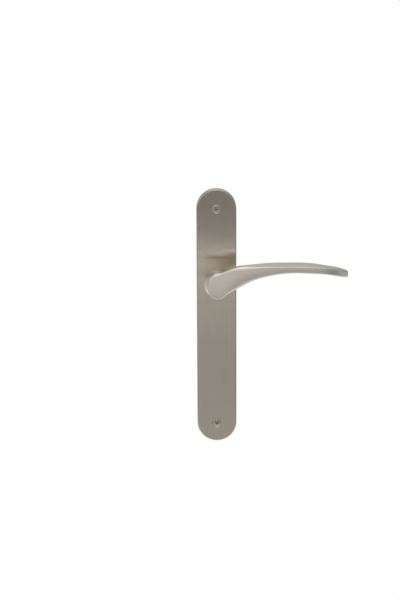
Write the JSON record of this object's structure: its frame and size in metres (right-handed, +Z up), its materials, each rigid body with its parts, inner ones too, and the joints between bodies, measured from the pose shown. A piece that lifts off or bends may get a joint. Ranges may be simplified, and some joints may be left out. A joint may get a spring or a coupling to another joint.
{
  "type": "door handle on backplate",
  "caption": "Sprung lever door handle on a long round-ended backplate, with a twisted blade lever, square spindle, return spring and countersunk fixing screws.",
  "frame": {"origin": "on the spindle's axis, in the plane of the door's face, which the backplate's back rim lies in", "axes": "+X along the lever towards its tip, +Z up along the backplate, -Y towards the room"},
  "size_m": [0.1377, 0.1141, 0.242],
  "materials": {
    "plate_nickel": "satin nickel plate on a zinc casting, brushed along the plate",
    "lever_nickel": "satin nickel plate on a zinc casting, brushed along the lever",
    "screw_nickel": "nickel-plated steel",
    "bush_plastic": "natural acetal",
    "spring_steel": "drawn spring wire",
    "pressed_steel": "zinc-plated pressed steel",
    "washer_steel": "zinc-plated steel",
    "clip_steel": "black phosphated spring steel",
    "spindle_steel": "bright zinc-plated steel bar",
    "grub_steel": "black oxide steel"
  },
  "bodies": {
    "plate": {"backplate": "plate_nickel", "neck_bush": "bush_plastic", "return_spring": "spring_steel", "fixing_screws": "screw_nickel"},
    "lever": {"lever_handle": "lever_nickel", "drive_washer": "pressed_steel", "thrust_washer": "washer_steel", "circlip": "clip_steel", "spindle": "spindle_steel", "grub_screw": "grub_steel"}
  },
  "joints": [
    {"name": "lever_turn", "type": "hinge", "parent": "plate", "child": "lever", "pos_m": [0, 0, 0], "axis": [0, 1, 0], "range_deg": [0, 45], "stiffness_Nm_per_rad": 0.9, "springref_deg": -34.38, "deforming": ["return_spring"]}
  ]
}
